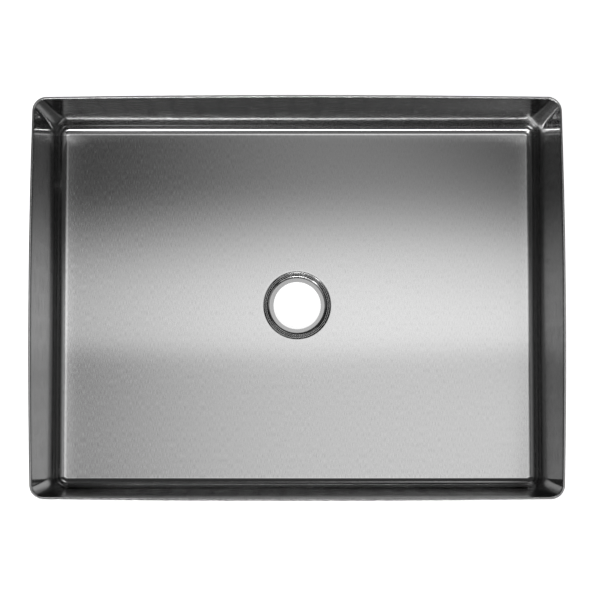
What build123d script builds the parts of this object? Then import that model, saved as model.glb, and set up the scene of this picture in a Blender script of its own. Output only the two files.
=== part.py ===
from build123d import *

import math
import os

# Countertop basin of brushed stainless sheet: a pressed floor pan with a drain dish,
# a hoop of four walls welded on it, a strip round the rim, and what lies under the floor.
#
# Millimetres, +Z up. The origin is on the drain's axis, in the plane of the worktop.
# +X is the long direction, +Y points to the back, where the tap stands.

# Size over everything
overall_length = 475.0
overall_width = 360.0
overall_height = 140.0

# Sheet and rim
sheet = 1.2
strip_thickness = 1.2
strip_height = 12.0
rim_round_share = 0.85
strip_lower_round = 0.4

# The weld at the corners draws them in, so each side of the rim bows out between them
short_side_bow = 2.4
long_side_bow = 1.8
rim_corner_radius = 10.0

# The walls lean outwards: how much further out the rim's corners are than the walls' feet
short_side_draft = 4.5
long_side_draft = 2.8

# Floor pan: its upstand is pressed with the floor and meets the walls in a butt weld
floor_fold_radius = 10.0
upstand_height = 20.2
upstand_lean = math.radians(3.4)
pan_corner_radius = 12.0
floor_fall = 0.6
level_margin = 1.0

# Drain dish, pressed in the middle of the floor
drain_hole_diameter = 45.0
seat_diameter = 54.0
dish_curve_radius = 4.0
lip_underside_radius = 0.3

# Seal between the dish and the worktop
seal_thickness = 2.0
seal_hole_clearance = 1.0
seal_width = 6.0

# Rubber feet under the corners of the floor
foot_base_diameter = 22.0
foot_top_diameter = 26.0
foot_inset = 24.0
foot_edge_chamfer = 1.0
foot_dimple_diameter = 8.0
foot_dimple_depth = 2.0

# Sound deadening pads stuck under the floor, each midway between the dish and the fold
pad_length = 118.0
pad_width = 232.0
pad_thickness = 3.0
pad_corner_radius = 12.0

# Half sizes of the inside of the rim, measured at its corners
rim_thickness = sheet + strip_thickness
half_length = overall_length / 2 - rim_thickness - short_side_bow
half_width = overall_width / 2 - rim_thickness - long_side_bow

# Half sizes of the inside at the walls' feet, where the upstand ends
foot_half_length = half_length - short_side_draft
foot_half_width = half_width - long_side_draft

# Heights, built up from the worktop
seat_height = seal_thickness + sheet
lip_radius = sheet + lip_underside_radius
dish_depth = dish_curve_radius + lip_radius
floor_at_dish = seat_height + dish_depth
floor_at_walls = floor_at_dish + floor_fall
seam_height = floor_at_walls + upstand_height

# Radii in plan
hole_radius = drain_hole_diameter / 2
seat_radius = seat_diameter / 2
dish_radius = seat_radius + dish_curve_radius + lip_radius

# Flat part of the floor: the upstand's lean and then the fold take their share of it
fold_share = floor_fold_radius * math.tan(math.radians(45) - upstand_lean / 2)
lean_share = upstand_height * math.tan(upstand_lean)
flat_half_length = foot_half_length - lean_share - fold_share
flat_half_width = foot_half_width - lean_share - fold_share
flat_corner_radius = pan_corner_radius - lean_share - fold_share


def pan_outline(grow, height):
    """Straight-sided outline of the pan's inside at a height, grown outwards by grow."""
    grow -= (seam_height - height) * math.tan(upstand_lean)
    x = foot_half_length + grow
    y = foot_half_width + grow
    return Pos(0, 0, height) * RectangleRounded(2 * x, 2 * y, pan_corner_radius + grow)


def rim_outline(grow):
    """Outline of the rim's inside with its bowed sides, grown outwards by grow."""
    x = half_length + grow
    y = half_width + grow
    sides = [
        ThreePointArc((-x, -y), (0, -y - long_side_bow), (x, -y)),
        ThreePointArc((x, -y), (x + short_side_bow, 0), (x, y)),
        ThreePointArc((x, y), (0, y + long_side_bow), (-x, y)),
        ThreePointArc((-x, y), (-x - short_side_bow, 0), (-x, -y)),
    ]
    face = make_face(sides)
    return fillet(face.vertices(), rim_corner_radius + grow)


def walls_filled(grow):
    """Everything inside the four walls, from the pan's seam up to the rim."""
    lower = pan_outline(grow, seam_height)
    upper = Pos(0, 0, overall_height) * rim_outline(grow)
    return loft([lower, upper], ruled=True)


def fall_filled(drop):
    """All that lies above the falling floor, inside its flat edges, let down by drop."""
    x = flat_half_length - level_margin
    y = flat_half_width - level_margin
    edge = RectangleRounded(2 * x, 2 * y, flat_corner_radius)
    edge = Pos(0, 0, floor_at_walls - drop) * edge
    circle = Pos(0, 0, floor_at_dish - drop) * Circle(dish_radius)
    return loft([circle, edge], ruled=True) + extrude(edge, drop + floor_fall)


def dish_filled(drop):
    """The drain dish as a solid of revolution, its surface let down by drop."""
    bottom = seat_height - drop
    middle = seat_height + dish_curve_radius
    top = floor_at_dish - drop
    curve = dish_curve_radius + drop
    lip = lip_radius - drop
    wall = seat_radius + curve
    profile = [
        Line((0, bottom), (seat_radius, bottom)),
        RadiusArc((seat_radius, bottom), (wall, middle), -curve),
        RadiusArc((wall, middle), (dish_radius, top), lip),
        Line((dish_radius, top), (0, top)),
        Line((0, top), (0, bottom)),
    ]
    return revolve(Plane.XZ * make_face(profile), Axis.Z)


def pan_filled(grow):
    """Everything inside the floor pan, grown outwards and let down by grow."""
    base = floor_at_walls - grow
    tub = loft([pan_outline(grow, base), pan_outline(grow, seam_height)], ruled=True)
    floor_edges = tub.faces().sort_by(Axis.Z)[0].edges()
    tub = fillet(floor_edges, floor_fold_radius + grow)
    return tub + fall_filled(grow) + dish_filled(grow)


def floor_pan(outside):
    """Pressed pan: floor with its fall, upturned fold all round, dish and drain hole."""
    hole = Cylinder(hole_radius, overall_height)
    return outside - pan_filled(0) - hole


def wall_band():
    """Hoop of four walls with its inner top edge rounded over."""
    band = walls_filled(sheet) - walls_filled(0)
    top = band.faces().sort_by(Axis.Z)[-1]
    return fillet(top.inner_wires()[0].edges(), rim_round_share * sheet)


def rim_strip():
    """Flat strip bent round the outside of the rim, its outer edges rounded over."""
    upright = extrude(rim_outline(rim_thickness), overall_height)
    upper_edges = upright.faces().sort_by(Axis.Z)[-1].edges()
    rounded = fillet(upper_edges, rim_round_share * strip_thickness)
    lower_end = Plane.XY.offset(overall_height - strip_height)
    strip = split(walls_filled(rim_thickness) & rounded, lower_end, keep=Keep.TOP)
    strip = fillet(strip.faces().sort_by(Axis.Z)[0].edges(), strip_lower_round)
    return strip - walls_filled(sheet)


def deadening_pad(side):
    """Flexible pad stuck under the floor on one side of the dish (side is -1 or 1)."""
    x = side * (dish_radius + flat_half_length) / 2
    footprint = Pos(x, 0, 0) * RectangleRounded(pad_length, pad_width, pad_corner_radius)
    block = extrude(footprint, floor_at_walls)
    return block & fall_filled(sheet + pad_thickness) - fall_filled(sheet)


def rubber_foot(outside, side_x, side_y):
    """Turned rubber foot with a dimple underneath, its top trimmed to the floor."""
    base = foot_base_diameter / 2
    top = foot_top_diameter / 2
    foot = Solid.make_cone(base, top, floor_at_walls)
    foot = chamfer(foot.edges().sort_by(Axis.Z)[0], foot_edge_chamfer)
    foot -= Cylinder(foot_dimple_diameter / 2, 2 * foot_dimple_depth)
    x = side_x * (flat_half_length - foot_inset)
    y = side_y * (flat_half_width - foot_inset)
    return Pos(x, y, 0) * foot - outside


def drain_seal():
    """Ring of closed-cell foam between the dish and the worktop."""
    inner = hole_radius + seal_hole_clearance
    ring = Circle(inner + seal_width) - Circle(inner)
    return extrude(ring, seal_thickness)


pan_outside = pan_filled(sheet)
parts = {
    "floor_pan": floor_pan(pan_outside),
    "wall_band": wall_band(),
    "rim_strip": rim_strip(),
    "drain_seal": drain_seal(),
}
for side_name, side in {"left": -1, "right": 1}.items():
    parts[f"deadening_pad_{side_name}"] = deadening_pad(side)
    for end_name, end in {"front": -1, "back": 1}.items():
        parts[f"foot_{end_name}_{side_name}"] = rubber_foot(pan_outside, side, end)

os.makedirs("parts", exist_ok=True)
for name, shape in parts.items():
    export_step(shape, f"parts/{name}.step")
    print(name, round(shape.volume), "mm3")
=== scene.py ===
# %% [markdown]
# A countertop basin of brushed stainless sheet, seen from almost straight above.
#
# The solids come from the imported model: a pressed floor pan, a hoop of four walls, a strip
# round the rim, and pads, feet and a seal under the floor. This lesson gives them their finish.
# Steel lives from what it reflects, so three things are worked out together: the shape of the
# sheet to a tenth of a millimetre, the direction in which each sheet was brushed, and the
# soft lights of the studio.

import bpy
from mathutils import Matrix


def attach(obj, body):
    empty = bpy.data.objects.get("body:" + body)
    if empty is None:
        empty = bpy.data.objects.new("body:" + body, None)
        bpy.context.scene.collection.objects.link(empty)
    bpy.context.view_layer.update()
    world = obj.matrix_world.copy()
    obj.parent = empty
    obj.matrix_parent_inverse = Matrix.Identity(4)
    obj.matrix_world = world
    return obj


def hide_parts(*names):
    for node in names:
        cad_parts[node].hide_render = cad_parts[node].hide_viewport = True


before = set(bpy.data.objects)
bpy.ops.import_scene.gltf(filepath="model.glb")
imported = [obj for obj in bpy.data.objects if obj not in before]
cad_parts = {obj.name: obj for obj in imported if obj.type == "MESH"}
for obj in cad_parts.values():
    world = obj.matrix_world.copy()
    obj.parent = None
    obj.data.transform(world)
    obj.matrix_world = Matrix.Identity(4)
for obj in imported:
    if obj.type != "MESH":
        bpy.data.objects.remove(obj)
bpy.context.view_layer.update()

# %% Modules, and metres for millimetres
import math

import bmesh
import bpy
import numpy as np
from mathutils import Vector

MM = 0.001
print("made with Blender", bpy.app.version_string)

# %% [markdown]
# The camera comes first, because every finish is judged through it. The photo was taken from
# about 1.8 m above the worktop with a long lens. The camera stands a little in front of the
# basin's middle and leans towards it: the front wall shows less than the back wall.

# %% Camera
camera_data = bpy.data.cameras.new("camera")
camera_data.lens = 114.75
camera_data.sensor_width = 36.0
camera_data.clip_end = 100.0
camera = bpy.data.objects.new("camera", camera_data)
camera.location = (-0.85 * MM, -103.7 * MM, 1824.5 * MM)
camera.rotation_euler = (0.05982, -0.00195, -0.0005)
bpy.context.scene.collection.objects.link(camera)
bpy.context.scene.camera = camera
print("camera stands", round(camera.location.z, 3), "m above the worktop")

# %% [markdown]
# The basin's measures, in millimetres and degrees. Sheet, rim and outer sizes are those of the
# solids. The fold and the drain's dish are a little gentler here, because the photo's reflections
# ask for it, but no surface lies more than 0.9 mm from its solid. The fold turns the sheet up to
# FOLD_END short of upright. From there the sheet eases on, on the wide radius EASING, until
# EASING_END is left. Round the dish the floor is level, and within LEVEL_FADE it passes over
# into its fall. TOP_GROOVE is the fine groove between wall and strip on top of the rim.

# %% Measures
HALF_LENGTH = 232.7
HALF_WIDTH = 175.8
HEIGHT = 140.0
SHEET = 1.2
STRIP = 1.2
STRIP_HEIGHT = 12.0
EDGE_ROUND = 1.02
STRIP_LOWER_ROUND = 0.4
TOP_GROOVE = 0.08
SHORT_BOW = 2.4
LONG_BOW = 1.8
SHORT_DRAFT = 4.5
LONG_DRAFT = 2.8
RIM_CORNER = 10.0
FOLD = 9.8
FOLD_END = 4.8
EASING = 230.0
EASING_END = 2.0
PAN_CORNER = 12.0
FLOOR_AT_WALLS = 9.3
FLOOR_AT_DISH = 8.7
LEVEL_FADE = 60.0
HOLE = 22.5
SEAT = 25.7
SEAT_HEIGHT = 3.2
DISH = 32.5
LIP = 2.4
DISH_DEPTH = FLOOR_AT_DISH - SEAT_HEIGHT
DISH_TURN = 2 * math.atan(DISH_DEPTH / (DISH - SEAT))
DISH_CURVE = DISH_DEPTH / (1 - math.cos(DISH_TURN)) - LIP
print("dish radius", DISH, "mm")

# %% [markdown]
# Each sheet of steel is a band of loops: closed lines that run round the bowl, one beside the
# other, from the drain to the rim. Every loop has its points in the same places, so the faces
# between two loops are neat four-sided strips that follow the sheet, and the reflections stay
# smooth. A subdivision surface would do it too, but it rounds what has to stay exact.

# %% Where the points of a loop lie
SIDE_POINTS = {"long": 80, "short": 60}
CORNER_POINTS = 20
SHARP_FROM = math.radians(30)


def loop_plan():
    """For each point of a loop: the corner or side that it is on, and how far along."""
    plan = []
    for corner, side in enumerate(["long", "short", "long", "short"]):
        for i in range(CORNER_POINTS + 1):
            plan.append((corner, i / CORNER_POINTS, None))
        for i in range(1, SIDE_POINTS[side]):
            plan.append((corner, 1.0, i / SIDE_POINTS[side]))
    return plan


PLAN = loop_plan()
CORNER_SIGNS = [(1, 1), (-1, 1), (-1, -1), (1, -1)]
print("points in a loop", len(PLAN))

# %% Rounded rectangle as a loop
def rounded(half_x, half_y, radius, grow=0.0, bow=0.0):
    """Loop of a rounded rectangle grown outwards by grow, and its outward directions."""
    corners = []
    for corner, (sx, sy) in enumerate(CORNER_SIGNS):
        centre = np.array([sx * (half_x - radius), sy * (half_y - radius)])
        corners.append((centre, math.radians(90 * corner)))
    points, outward = [], []
    for corner, turn, along in PLAN:
        centre, start = corners[corner]
        angle = start + math.radians(90) * turn
        direction = np.array([math.cos(angle), math.sin(angle)])
        point = centre + (radius + grow) * direction
        if along is not None:
            next_centre = corners[(corner + 1) % 4][0]
            point = point + (next_centre - centre) * along
        points.append(point)
        outward.append(direction)
    points, outward = np.array(points), np.array(outward)
    x, y = points[:, 0], points[:, 1]
    shift_x = np.sign(x) * bow * SHORT_BOW * np.clip(1 - (y / half_y) ** 2, 0, 1)
    shift_y = np.sign(y) * bow * LONG_BOW * np.clip(1 - (x / half_x) ** 2, 0, 1)
    reach_x = np.clip(np.abs(outward[:, 0]), 0, 1)
    reach_y = np.clip(np.abs(outward[:, 1]), 0, 1)
    points = points + np.stack([shift_x * reach_x, shift_y * reach_y], axis=1)
    return points, outward


sample, _ = rounded(HALF_LENGTH, HALF_WIDTH, RIM_CORNER, grow=SHEET + STRIP, bow=1.0)
print("rim measures", np.ptp(sample, axis=0).round(2), "mm over everything")

# %% Loops to a mesh
def at_height(points, z):
    """Loop points with their height, which may be one number or one for each point."""
    return np.column_stack([points, np.broadcast_to(z, len(points))])


def closed_on(values, rows, count):
    """Grain coordinates with the row and column added that closes the band."""
    values = np.asarray(values)
    if values.shape[0] == rows:
        values = np.concatenate([values, values[:1]], axis=0)
    if values.shape[1] == count:
        values = np.concatenate([values, values[:, :1]], axis=1)
    return values


def band_mesh(name, loops, blank, finishes):
    """Closed band of four-sided faces between loops.

    blank holds each point's place across and along the grain, finishes each row's slot.
    """
    rows, count = len(loops), len(loops[0])
    i, j = np.meshgrid(np.arange(rows), np.arange(count), indexing="ij")
    ni, nj = (i + 1) % rows, (j + 1) % count
    faces = np.stack([i * count + j, i * count + nj, ni * count + nj, ni * count + j], -1)
    mesh = bpy.data.meshes.new(name)
    mesh.from_pydata((np.concatenate(loops) * MM).tolist(), [], faces.reshape(-1, 4).tolist())
    uv = closed_on(blank, rows, count) * MM
    corners = np.stack([uv[i, j], uv[i, j + 1], uv[i + 1, j + 1], uv[i + 1, j]], axis=2)
    layer = mesh.uv_layers.new(name="grain")
    layer.data.foreach_set("uv", corners.astype(np.float32).ravel())
    mesh.polygons.foreach_set("use_smooth", np.ones(rows * count, dtype=bool))
    per_face = np.repeat(np.array(finishes, dtype=np.int32), count)
    mesh.polygons.foreach_set("material_index", per_face)
    work = bmesh.new()
    work.from_mesh(mesh)
    if work.calc_volume(signed=True) < 0:
        bmesh.ops.reverse_faces(work, faces=work.faces)
    volume = work.calc_volume()
    work.to_mesh(mesh)
    work.free()
    mesh.set_sharp_from_angle(angle=SHARP_FROM)
    made = bpy.data.objects.new(name, mesh)
    bpy.context.scene.collection.objects.link(made)
    print(name, len(mesh.polygons), "faces", round(volume * 1e6, 1), "cubic centimetres")
    return made


# %% [markdown]
# The floor pan is one pressing: the hole and its flat seat, the curved wall of the drain dish,
# its lip, the floor that falls to it, and the fold that turns the floor up into the walls. The
# floor is almost flat. It sinks by about half a millimetre over its whole width, which is
# enough to bend the straight edge of a reflection into a shallow curve.

# %% Height of the floor
FOLD_TURN = 90 - FOLD_END
EASED_TURN = 90 - EASING_END
FOLD_OUT = FOLD * math.sin(math.radians(FOLD_TURN))
FOLD_UP = FOLD * (1 - math.cos(math.radians(FOLD_TURN)))
EASED_OUT = EASING * (math.sin(math.radians(EASED_TURN)) - math.sin(math.radians(FOLD_TURN)))
EASED_UP = EASING * (math.cos(math.radians(FOLD_TURN)) - math.cos(math.radians(EASED_TURN)))
SEAM = FLOOR_AT_WALLS + FOLD_UP + EASED_UP
FOOT_X = HALF_LENGTH - SHORT_DRAFT
FOOT_Y = HALF_WIDTH - LONG_DRAFT
FLAT_X = FOOT_X - EASED_OUT - FOLD_OUT
FLAT_Y = FOOT_Y - EASED_OUT - FOLD_OUT
SAG = FLOOR_AT_WALLS - FLOOR_AT_DISH
print("seam at", round(SEAM, 2), "flat", round(FLAT_X, 2), round(FLAT_Y, 2))


def floor_height(points):
    """Height of the floor's upper face, level along the fold and round the dish."""
    x, y = points[:, 0], points[:, 1]
    radius = np.hypot(x, y)
    sag = SAG * (1 - (1 - (x / FLAT_X) ** 2) * (1 - (y / FLAT_Y) ** 2))
    at_lip = SAG * ((x / FLAT_X) ** 2 + (y / FLAT_Y) ** 2) * (DISH / radius) ** 2
    near_dish = np.clip(1 - (radius - DISH) / LEVEL_FADE, 0, 1)
    return FLOOR_AT_DISH + sag - at_lip * near_dish ** 2


# %% [markdown]
# Each loop of the pan carries its place on the flat blank that the pan was pressed from, since
# the sheet was brushed before it was pressed. The rows stand closest where the sheet curves,
# and CROWDING draws those of the floor towards the dish.

# %% Loops of the floor pan
SEAT_ROWS, DISH_ROWS, LIP_ROWS = 5, 18, 16
FLOOR_ROWS, FOLD_ROWS, EASING_ROWS = 33, 18, 5
CROWDING = 1.3
EDGE, EDGE_OUT = rounded(FLAT_X, FLAT_Y, PAN_CORNER - FOLD_OUT - EASED_OUT)
BEARING = np.arctan2(EDGE[:, 1], EDGE[:, 0])
ROUND = np.column_stack([np.cos(BEARING), np.sin(BEARING)])
BLANK_PACE = (DISH - SEAT) / ((DISH_CURVE + LIP) * DISH_TURN)


def steps(start, end, rows):
    """Evenly spaced values after start, the last one at end."""
    return np.linspace(start, end, rows + 1)[1:]


def pan_rows(drop):
    """Loops from the drain's hole to the seam, let down by drop, with their blank."""
    rows = []
    for radius in np.linspace(HOLE, SEAT, SEAT_ROWS + 1):
        rows.append((at_height(ROUND * radius, SEAT_HEIGHT - drop), ROUND * radius, "dish"))
    curve, lip = DISH_CURVE + drop, LIP - drop
    for turn in steps(0, DISH_TURN, DISH_ROWS):
        radius = SEAT + curve * math.sin(turn)
        z = SEAT_HEIGHT + DISH_CURVE - curve * math.cos(turn)
        flat = SEAT + BLANK_PACE * DISH_CURVE * turn
        rows.append((at_height(ROUND * radius, z), ROUND * flat, "dish"))
    for turn in steps(DISH_TURN, 0, LIP_ROWS):
        radius = DISH - lip * math.sin(turn)
        z = FLOOR_AT_DISH - LIP + lip * math.cos(turn)
        flat = DISH - BLANK_PACE * LIP * turn
        rows.append((at_height(ROUND * radius, z), ROUND * flat, "dish"))
    for share in steps(0, 1, FLOOR_ROWS) ** CROWDING:
        points = ROUND * DISH * (1 - share) + EDGE * share
        rows.append((at_height(points, floor_height(points) - drop), points, "floor"))
    for turn in np.radians(steps(0, FOLD_TURN, FOLD_ROWS)):
        out = (FOLD + drop) * math.sin(turn)
        points = EDGE + EDGE_OUT * out
        z = FLOOR_AT_WALLS + FOLD - (FOLD + drop) * math.cos(turn)
        rows.append((at_height(points, z), EDGE + EDGE_OUT * FOLD * turn, "fold"))
    end = math.radians(FOLD_TURN)
    for turn in np.radians(steps(FOLD_TURN, EASED_TURN, EASING_ROWS)):
        out = FOLD_OUT + EASING * (math.sin(turn) - math.sin(end)) + drop * math.sin(turn)
        up = FOLD_UP + EASING * (math.cos(end) - math.cos(turn)) - drop * math.cos(turn)
        flat = EDGE + EDGE_OUT * (FOLD * end + EASING * (turn - end))
        rows.append((at_height(EDGE + EDGE_OUT * out, FLOOR_AT_WALLS + up), flat, "fold"))
    return rows


upper, lower = pan_rows(0.0), pan_rows(SHEET)[::-1]
PAN_SLOT = {"floor": 0, "fold": 0, "dish": 1, "outside": 2}
pan_finishes = [PAN_SLOT[kind] for _, _, kind in upper[1:]]
pan_finishes += [PAN_SLOT["outside"]] * len(lower) + [PAN_SLOT["dish"]]
floor_pan = band_mesh(
    "brushed_floor_pan",
    [points for points, _, _ in upper + lower],
    [flat for _, flat, _ in upper + lower],
    pan_finishes,
)

# %% [markdown]
# The walls are one long strip bent round four corners. Its lower edge follows the pan, with
# straight sides and wide corners. Its upper edge has tighter corners, and the sides bow out
# between them, because the welds at the corners shrink as they cool.

# %% Loops of the walls and of the strip round the rim
def wall_loop(grow, z):
    """Loop on the walls at height z, grown outwards by grow."""
    rise = (z - SEAM) / (HEIGHT - SEAM)
    radius = PAN_CORNER + (RIM_CORNER - PAN_CORNER) * rise
    half_x = HALF_LENGTH - SHORT_DRAFT * (1 - rise)
    half_y = HALF_WIDTH - LONG_DRAFT * (1 - rise)
    points, _ = rounded(half_x, half_y, radius, grow=grow, bow=rise)
    return at_height(points, z)


def hoop(name, profile, finishes):
    """Closed hoop whose section is the profile, a list of (grow, height)."""
    loops = [wall_loop(grow, z) for grow, z in profile]
    across = [0.0]
    for (g0, z0), (g1, z1) in zip(profile, profile[1:] + profile[:1]):
        across.append(across[-1] + math.hypot(g1 - g0, z1 - z0))
    ring = wall_loop(0.0, HEIGHT)[:, :2]
    around = np.linalg.norm(np.diff(np.vstack([ring, ring[:1]]), axis=0), axis=1)
    along = np.concatenate([[0.0], np.cumsum(around)])
    blank = [np.column_stack([np.full(len(along), u), along]) for u in across]
    return band_mesh(name, loops, blank, finishes)


def rounded_edge(grow, z, radius, start, end, count=6):
    """Points of a profile's rounded edge round the centre (grow, z), angles in degrees."""
    angles = np.radians(np.linspace(start, end, count + 1))
    return [(grow + radius * math.cos(a), z + radius * math.sin(a)) for a in angles]


HOOP_SLOT = {"wall": 0, "rim": 1, "outside": 2}
WALL_POINTS, OUTSIDE_POINTS, STRIP_POINTS = 30, 24, 8
OUTSIDE_TOP = HEIGHT - 1.5
STRIP_FACE = (HEIGHT - 2.5, HEIGHT - 11.2)
OUTER = SHEET + STRIP

wall_profile = [(0.0, z) for z in np.linspace(SEAM, HEIGHT - EDGE_ROUND, WALL_POINTS)]
wall_profile += rounded_edge(EDGE_ROUND, HEIGHT - EDGE_ROUND, EDGE_ROUND, 180, 90)[1:]
wall_profile += [(SHEET - TOP_GROOVE, HEIGHT), (SHEET, HEIGHT - TOP_GROOVE)]
rim_rows = len(wall_profile) - WALL_POINTS
wall_profile += [(SHEET, z) for z in np.linspace(OUTSIDE_TOP, SEAM, OUTSIDE_POINTS)]
wall_finishes = [HOOP_SLOT["wall"]] * (WALL_POINTS - 1) + [HOOP_SLOT["rim"]] * rim_rows
wall_finishes += [HOOP_SLOT["outside"]] * (OUTSIDE_POINTS + 1)
walls = hoop("brushed_wall_band", wall_profile, wall_finishes)

strip_profile = [(SHEET, HEIGHT - TOP_GROOVE), (SHEET + TOP_GROOVE, HEIGHT)]
strip_profile += rounded_edge(OUTER - EDGE_ROUND, HEIGHT - EDGE_ROUND, EDGE_ROUND, 90, 0)
rim_rows = len(strip_profile)
strip_profile += [(OUTER, z) for z in np.linspace(*STRIP_FACE, STRIP_POINTS)]
strip_profile += rounded_edge(
    OUTER - STRIP_LOWER_ROUND,
    HEIGHT - STRIP_HEIGHT + STRIP_LOWER_ROUND,
    STRIP_LOWER_ROUND, 0, -90, 4,
)
strip_profile += [(SHEET, HEIGHT - STRIP_HEIGHT)]
strip_finishes = [HOOP_SLOT["rim"]] * rim_rows
strip_finishes += [HOOP_SLOT["outside"]] * (len(strip_profile) - rim_rows)
strip = hoop("ground_rim_strip", strip_profile, strip_finishes)

# %% [markdown]
# The three pieces take the places of their solids. All ride on the one body that there is,
# because nothing on a bare basin moves.

# %% Pieces for solids
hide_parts("floor_pan")
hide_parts("wall_band")
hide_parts("rim_strip")
for piece, slot_name in ((floor_pan, "floor_steel"), (walls, "wall_steel"), (strip, "rim_steel")):
    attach(piece, "root")
    print(piece.name, "rides on root and takes", slot_name)

# %% [markdown]
# Colours are written as sRGB hex values, as a paint program shows them. The renderer counts in
# linear light, so one function turns them over. One more adds a node with its settings and
# links, which keeps each material short enough to read.

# %% Colour and node helpers
def linear(hex_colour):
    """Linear RGBA of an sRGB hex colour such as #C8C5C0."""
    rgba = []
    for i in (1, 3, 5):
        c = int(hex_colour[i:i + 2], 16) / 255
        rgba.append(c / 12.92 if c <= 0.04045 else ((c + 0.055) / 1.055) ** 2.4)
    return rgba + [1.0]


def add_node(tree, kind, inputs=None, **settings):
    """Adds a node; inputs are values or the output sockets that feed them."""
    node = tree.nodes.new(kind)
    for key, value in settings.items():
        setattr(node, key, value)
    for key, value in (inputs or {}).items():
        if isinstance(value, bpy.types.NodeSocket):
            tree.links.new(value, node.inputs[key])
        else:
            node.inputs[key].default_value = value
    return node


def new_material(name):
    """An empty node material and its tree with the output node."""
    material = bpy.data.materials.new(name)
    material.use_nodes = True
    material.node_tree.nodes.clear()
    output = add_node(material.node_tree, "ShaderNodeOutputMaterial")
    return material, material.node_tree, output


print("middle grey #808080 is", round(linear("#808080")[0], 3), "in linear light")

# %% [markdown]
# Stainless sheet is brushed with an abrasive belt. The belt leaves fine straight scratches, and
# each of them is a tiny mirror that spreads a reflection to its sides, never along itself. So
# one recipe serves for all the steel: a noise stretched into strokes that follow the grain
# coordinates of the sheet. The noise drives the tone, the roughness and a slight lean of the
# surface, because on the real sheet all three come from the same scratches. Where the noise is
# below RIDGE the sheet is polished, above GROOVE it is dull, and between them it passes over. A
# picture of scratches would do it too, but it shows its pixels and its seams at the corners.
#
# A real belt scratch is about 0.1 mm wide. In a picture of this size a pixel is 1 mm wide, so
# on the floor the strokes are made three times coarser to leave some grain to see.

# %% Brushed stainless steel
RIDGE, GROOVE = 0.52, 0.66


def brushed_stainless(name, colour, roughness, anisotropy, line_mm, stroke_mm, tilt):
    """Sheet steel brushed along the second grain coordinate.

    colour and roughness are pairs, for the polished ridges and for the grooves. line_mm and
    stroke_mm are the width and length of one brush line, tilt how far its flanks lean.
    """
    material, tree, output = new_material(name)
    grain = add_node(tree, "ShaderNodeUVMap", uv_map="grain")
    strokes = add_node(
        tree, "ShaderNodeMapping", {
            "Vector": grain.outputs["UV"],
            "Scale": (1 / (line_mm * MM), 1 / (stroke_mm * MM), 1.0),
        },
    )
    lines = add_node(
        tree, "ShaderNodeTexNoise", {
            "Vector": strokes.outputs["Vector"], "Scale": 1.0, "Detail": 2.0, "Roughness": 0.6,
        },
        noise_dimensions="2D",
    )
    shade = add_node(
        tree, "ShaderNodeMix", {
            0: lines.outputs["Fac"], 6: linear(colour[0]), 7: linear(colour[1]),
        },
        data_type="RGBA",
    )
    across = add_node(tree, "ShaderNodeTangent", direction_type="UV_MAP", uv_map="grain")
    lean = add_node(
        tree, "ShaderNodeMapRange", {
            "Value": lines.outputs["Fac"], "From Min": 0.0, "From Max": 1.0,
            "To Min": -tilt, "To Max": tilt,
        },
        clamp=False,
    )
    sideways = add_node(
        tree, "ShaderNodeVectorMath", {
            0: across.outputs["Tangent"], "Scale": lean.outputs["Result"],
        },
        operation="SCALE",
    )
    upright = add_node(tree, "ShaderNodeNewGeometry")
    leaning = add_node(
        tree, "ShaderNodeVectorMath", {
            0: upright.outputs["Normal"], 1: sideways.outputs["Vector"],
        },
        operation="ADD",
    )
    facing = add_node(
        tree, "ShaderNodeVectorMath", {0: leaning.outputs["Vector"]}, operation="NORMALIZE"
    )
    polish = add_node(
        tree, "ShaderNodeMapRange", {
            "Value": lines.outputs["Fac"], "From Min": RIDGE, "From Max": GROOVE,
            "To Min": roughness[0], "To Max": roughness[1],
        },
    )
    steel = add_node(
        tree, "ShaderNodeBsdfPrincipled", {
            "Base Color": shade.outputs[2], "Metallic": 1.0,
            "Roughness": polish.outputs["Result"], "Anisotropic": anisotropy,
            "Normal": facing.outputs["Vector"], "Tangent": across.outputs["Tangent"],
        },
    )
    tree.links.new(steel.outputs["BSDF"], output.inputs["Surface"])
    return material


print("noise from", RIDGE, "to", GROOVE, "turns a ridge into a groove")

# %% [markdown]
# Each surface of the basin has had its own treatment, and the eye reads them apart:
#
# - The floor is belt-brushed front to back. It smears reflections sideways and hardly at all
#   lengthwise, which keeps the step between the lamps overhead as a level line.
# - The dish is pressed after brushing. The press flattens most of the brush lines, so the dish
#   mirrors almost alike in all directions, and the curve round the hole shows thin arcs.
# - The walls are brushed round the bowl. The coarse belt leaves polished ridges among dull
#   grooves: the ridges mirror the fold as a sharp line, the grooves put a haze over it. Their
#   colour is painted shade: far darker than the floor's steel, and nearly black in the grooves.
# - The rim is ground by hand to an even satin that catches light all round.
# - The outside has the mill's cold-rolled finish, dull and even. Nobody polishes it.

# %% Finishes of the steel
floor_steel = brushed_stainless(
    "brushed stainless sheet, floor", colour=("#A2A2A2", "#E6E6E6"), roughness=(0.12, 0.16),
    anisotropy=1.0, line_mm=0.33, stroke_mm=5.0, tilt=0.014,
)
dish_steel = brushed_stainless(
    "pressed stainless dish", colour=("#A2A2A2", "#B4B4B4"), roughness=(0.15, 0.19),
    anisotropy=0.3, line_mm=0.30, stroke_mm=8.0, tilt=0.02,
)
# Painted shade: the walls' steel is coloured much darker than real stainless, nearly black in the
# grooves.
wall_steel = brushed_stainless(
    "brushed stainless sheet, walls, painted dark for shade", colour=("#8C8C8C", "#242424"), roughness=(0.08, 0.34),
    anisotropy=0.4, line_mm=0.12, stroke_mm=22.0, tilt=0.01,
)
rim_steel = brushed_stainless(
    "ground stainless edge", colour=("#C0C0C0", "#D2D2D2"), roughness=(0.22, 0.26),
    anisotropy=0.5, line_mm=0.5, stroke_mm=6.0, tilt=0.05,
)
outside_steel = brushed_stainless(
    "mill finished stainless, outside", colour=("#B2B2B2", "#C6C6C6"), roughness=(0.30, 0.38),
    anisotropy=0.6, line_mm=0.4, stroke_mm=12.0, tilt=0.06,
)
for material in (floor_steel, dish_steel, outside_steel):
    floor_pan.data.materials.append(material)
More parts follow.
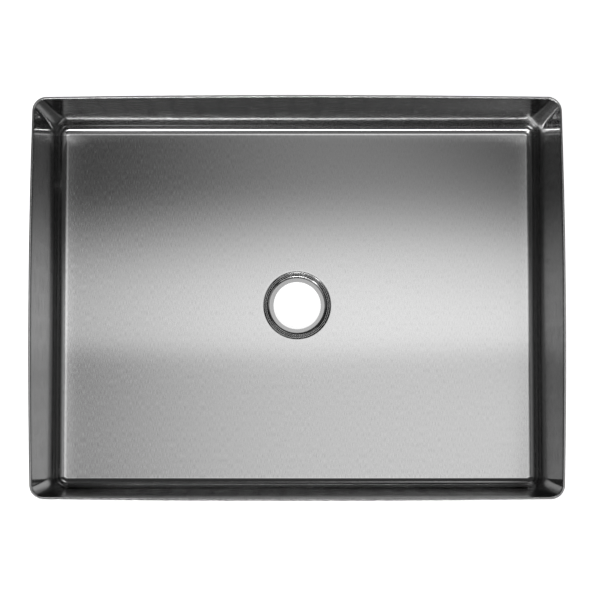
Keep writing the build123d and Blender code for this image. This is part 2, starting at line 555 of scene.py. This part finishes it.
for material in (wall_steel, rim_steel, outside_steel):
    walls.data.materials.append(material)
    strip.data.materials.append(material)
for piece in (floor_pan, walls, strip):
    print(piece.name, "has", [material.name for material in piece.data.materials])

# %% [markdown]
# What lies under the floor is soft: pads of butyl that stop the sheet from drumming, moulded
# rubber feet, and a foam seal. Their solids have the right shape already and stay as they are.
# Only their finish is made here. All three are dark and dull, and the eye tells them apart by
# the size of their bumps: pinholes in the foam, a faint orange peel on the rubber, and the
# shallow wrinkles of a pad that was pressed on by hand.

# %% Materials of the pads, feet and seal
def soft_black(name, colour, roughness, bump_mm, depth_mm, cells=False):
    """Dull black material with bumps of the given size and depth; cells makes pinholes."""
    material, tree, output = new_material(name)
    place = add_node(tree, "ShaderNodeTexCoord")
    if cells:
        bumps = add_node(
            tree, "ShaderNodeTexVoronoi", {
                "Vector": place.outputs["Object"], "Scale": 1 / (bump_mm * MM),
            },
        )
        height = bumps.outputs["Distance"]
    else:
        bumps = add_node(
            tree, "ShaderNodeTexNoise", {
                "Vector": place.outputs["Object"], "Scale": 1 / (bump_mm * MM), "Detail": 4.0,
            },
        )
        height = bumps.outputs["Fac"]
    shade = add_node(
        tree, "ShaderNodeMix", {0: height, 6: linear(colour[0]), 7: linear(colour[1])},
        data_type="RGBA",
    )
    dull = add_node(
        tree, "ShaderNodeMapRange", {
            "Value": height, "To Min": roughness[0], "To Max": roughness[1],
        },
    )
    bump = add_node(
        tree, "ShaderNodeBump", {"Height": height, "Strength": 0.6, "Distance": depth_mm * MM}
    )
    shader = add_node(
        tree, "ShaderNodeBsdfPrincipled", {
            "Base Color": shade.outputs[2], "Roughness": dull.outputs["Result"],
            "Normal": bump.outputs["Normal"],
        },
    )
    tree.links.new(shader.outputs["BSDF"], output.inputs["Surface"])
    return material


pad_material = soft_black(
    "butyl deadening pad", colour=("#26262A", "#3C3C40"), roughness=(0.62, 0.85),
    bump_mm=9.0, depth_mm=0.4,
)
foot_material = soft_black(
    "moulded rubber", colour=("#17171A", "#2A2A2D"), roughness=(0.48, 0.66),
    bump_mm=1.6, depth_mm=0.06,
)
seal_material = soft_black(
    "closed-cell foam", colour=("#1E1E20", "#3A3A3D"), roughness=(0.85, 0.95),
    bump_mm=1.2, depth_mm=0.25, cells=True,
)
UNDER_THE_FLOOR = {"deadening": pad_material, "foot": foot_material, "drain": seal_material}
for name, node in sorted(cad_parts.items()):
    material = UNDER_THE_FLOOR.get(name.split("_")[0])
    if material:
        for slot in node.material_slots:
            slot.link = "OBJECT"
            slot.material = material
        print(name, "has", len(node.material_slots), "slot with", material.name)

# %% [markdown]
# The photo has a pure white ground without a shadow, also through the drain's hole. The floor
# is a wide matt sheet that glows a little, as a lit table does, so no corner of it turns grey.

# %% Stage floor
def stage_floor():
    """Matt white floor just under the basin's feet."""
    mesh = bpy.data.meshes.new("pale_floor")
    reach, z = 30.0, -0.4 * MM
    corners = [(-reach, -reach, z), (reach, -reach, z), (reach, reach, z), (-reach, reach, z)]
    mesh.from_pydata(corners, [], [(0, 1, 2, 3)])
    floor = bpy.data.objects.new("pale_floor", mesh)
    bpy.context.scene.collection.objects.link(floor)
    material, tree, output = new_material("matt white floor")
    shader = add_node(
        tree, "ShaderNodeBsdfPrincipled", {
            "Base Color": linear("#F4F4F4"), "Roughness": 0.9, "Specular IOR Level": 0.2,
            "Emission Color": (1, 1, 1, 1), "Emission Strength": 0.85,
        },
    )
    tree.links.new(shader.outputs["BSDF"], output.inputs["Surface"])
    floor.data.materials.append(material)
    return floor


pale_floor = stage_floor()
print("floor lies", round(-pale_floor.bound_box[0][2] / MM, 2), "mm under the feet")

# %% [markdown]
# Steel shows its studio. What the floor of the bowl mirrors is the ceiling, so the lamps
# overhead are large and soft, brightest over the front half and fading to the back, where the
# floor of the bowl is dark in the photo. The fold mirrors everything from the ceiling down to
# the horizon in a width of one centimetre: each lamp on a stand becomes one thin line in it.
# All the lamps are flat panels that fade towards their edges, which is what a softbox does.

# %% Softboxes
EDGES = (("X", 0.0, 1), ("X", 1.0, -1), ("Y", 0.0, 1), ("Y", 1.0, -1))


def softbox(name, centre, aim, width, depth, radiance, soft):
    """Area light whose face shines with the given radiance and fades towards its edges.

    soft is the share of its size that fades at its left, right, near and far edge.
    """
    data = bpy.data.lights.new(name, "AREA")
    data.shape = "RECTANGLE"
    data.size = width
    data.size_y = depth
    data.energy = radiance * math.pi * width * depth
    data.use_nodes = True
    tree = data.node_tree
    place = add_node(tree, "ShaderNodeNewGeometry")
    sides = add_node(tree, "ShaderNodeSeparateXYZ", {0: place.outputs["Parametric"]})
    strength = 1.0
    for (axis, edge, inwards), share in zip(EDGES, soft):
        fade = add_node(
            tree, "ShaderNodeMapRange", {
                "Value": sides.outputs[axis], "From Min": edge, "From Max": edge + inwards * share,
            },
            interpolation_type="SMOOTHSTEP",
        )
        product = add_node(
            tree, "ShaderNodeMath", {0: strength, 1: fade.outputs["Result"]}, operation="MULTIPLY"
        )
        strength = product.outputs["Value"]
    tree.links.new(strength, tree.nodes["Emission"].inputs["Strength"])
    light = bpy.data.objects.new(name, data)
    light.location = centre
    direction = Vector(aim) - Vector(centre)
    light.rotation_euler = direction.to_track_quat("-Z", "Y").to_euler()
    light.visible_camera = False
    bpy.context.scene.collection.objects.link(light)


def overhead(name, x, y, height, radiance, soft):
    """Softbox that hangs level and shines straight down, from x[0] to x[1] and y[0] to y[1]."""
    middle = ((x[0] + x[1]) / 2, (y[0] + y[1]) / 2)
    softbox(
        name, centre=(*middle, height), aim=(*middle, 0), width=x[1] - x[0],
        depth=y[1] - y[0], radiance=radiance, soft=soft,
    )


print("each softbox fades at", len(EDGES), "edges")

# %% [markdown]
# Lamps overhead. Panels that overlap hang a few millimetres apart, as real ones would.

# %% Overhead lamps
overhead(
    "main_overhead", x=(-0.80, 1.15), y=(-0.50, 0.42), height=2.60, radiance=0.95,
    soft=(0.42, 0.33, 0.30, 0.36),
)
overhead(
    "overhead_band", x=(-1.30, 1.50), y=(0.02, 0.42), height=2.59, radiance=0.38,
    soft=(0.20, 0.20, 0.14, 0.60),
)
overhead(
    "overhead_back", x=(-0.45, 0.66), y=(0.05, 0.95), height=2.61, radiance=0.37,
    soft=(0.45, 0.45, 0.35, 0.50),
)
overhead(
    "overhead_left", x=(-1.20, -0.05), y=(-0.75, 0.05), height=2.616, radiance=0.12,
    soft=(0.30, 0.60, 0.30, 0.30),
)
overhead(
    "overhead_right", x=(0.15, 1.50), y=(-0.75, 0.14), height=2.622, radiance=0.30,
    soft=(0.50, 0.30, 0.30, 0.30),
)
overhead(
    "overhead_back_right", x=(0.02, 1.00), y=(0.19, 0.50), height=2.628, radiance=0.15,
    soft=(0.35, 0.40, 0.30, 0.40),
)
overhead(
    "overhead_front", x=(-1.30, 1.00), y=(-2.30, -0.40), height=2.64, radiance=0.15,
    soft=(0.30, 0.30, 0.10, 0.12),
)
# %% [markdown]
# Lamps on stands. The strong narrow one in front draws the bright line along the back fold,
# and its mirror image in the back wall. The upright one at the front left, the key of the
# corner, lights the glint in the back right corner. The low ones fill the hazy walls. Angles
# are in degrees: elevation above the worktop, azimuth clockwise from the back.

# %% Lamps on stands
SEEN_FROM_DRAIN = (0.0, 0.0, 0.02)


def standing(name, elevation, azimuth, half_wide, half_high, distance, radiance):
    """Softbox on a stand that faces the drain, placed by its angles seen from there."""
    rise, turn = math.radians(elevation), math.radians(azimuth)
    x, y = math.sin(turn) * math.cos(rise), math.cos(turn) * math.cos(rise)
    softbox(
        name,
        centre=(distance * x, distance * y, distance * math.sin(rise)),
        aim=SEEN_FROM_DRAIN,
        width=2 * distance * math.cos(rise) * math.tan(math.radians(half_wide)),
        depth=2 * distance * math.tan(math.radians(half_high)),
        radiance=radiance,
        soft=(0.5, 0.5, 0.5, 0.5),
    )


standing(
    "front_strip", elevation=38.5, azimuth=184, half_wide=30, half_high=5.0,
    distance=2.60, radiance=19.0,
)
standing(
    "front_left", elevation=52, azimuth=222, half_wide=34, half_high=13,
    distance=2.73, radiance=1.40,
)
standing(
    "corner_key", elevation=40, azimuth=220, half_wide=9, half_high=20,
    distance=2.50, radiance=6.5,
)
standing(
    "low_front_left", elevation=26, azimuth=208, half_wide=26, half_high=11,
    distance=2.66, radiance=3.5,
)
standing(
    "low_back", elevation=15, azimuth=352, half_wide=30, half_high=9,
    distance=2.64, radiance=5.6,
)
standing(
    "back_right", elevation=36, azimuth=30, half_wide=32, half_high=12,
    distance=2.66, radiance=1.2,
)
standing(
    "front_right", elevation=38, azimuth=148, half_wide=10, half_high=12,
    distance=2.68, radiance=2.2,
)

# %% [markdown]
# Two big panels beside the basin and a faint light from all round fill the folds at the sides,
# which would be black without them. The view transform is the plain one, as the photo has.

# %% Side panels and surroundings
SIDE_PANELS = ((1, 0.45, (0.3, 0.12, 0.9, 0.05)), (-1, 0.22, (0.12, 0.3, 0.9, 0.05)))
for side, radiance, soft in SIDE_PANELS:
    softbox(
        "side_panel", centre=(side * 1.4, -0.5, 1.4), aim=(0, -0.5, 1.4), width=1.6, depth=2.2,
        radiance=radiance, soft=soft,
    )

world = bpy.data.worlds.new("studio")
bpy.context.scene.world = world
world.use_nodes = True
world.node_tree.nodes["Background"].inputs["Color"].default_value = (0.045, 0.045, 0.045, 1)

bpy.context.scene.view_settings.view_transform = "Standard"
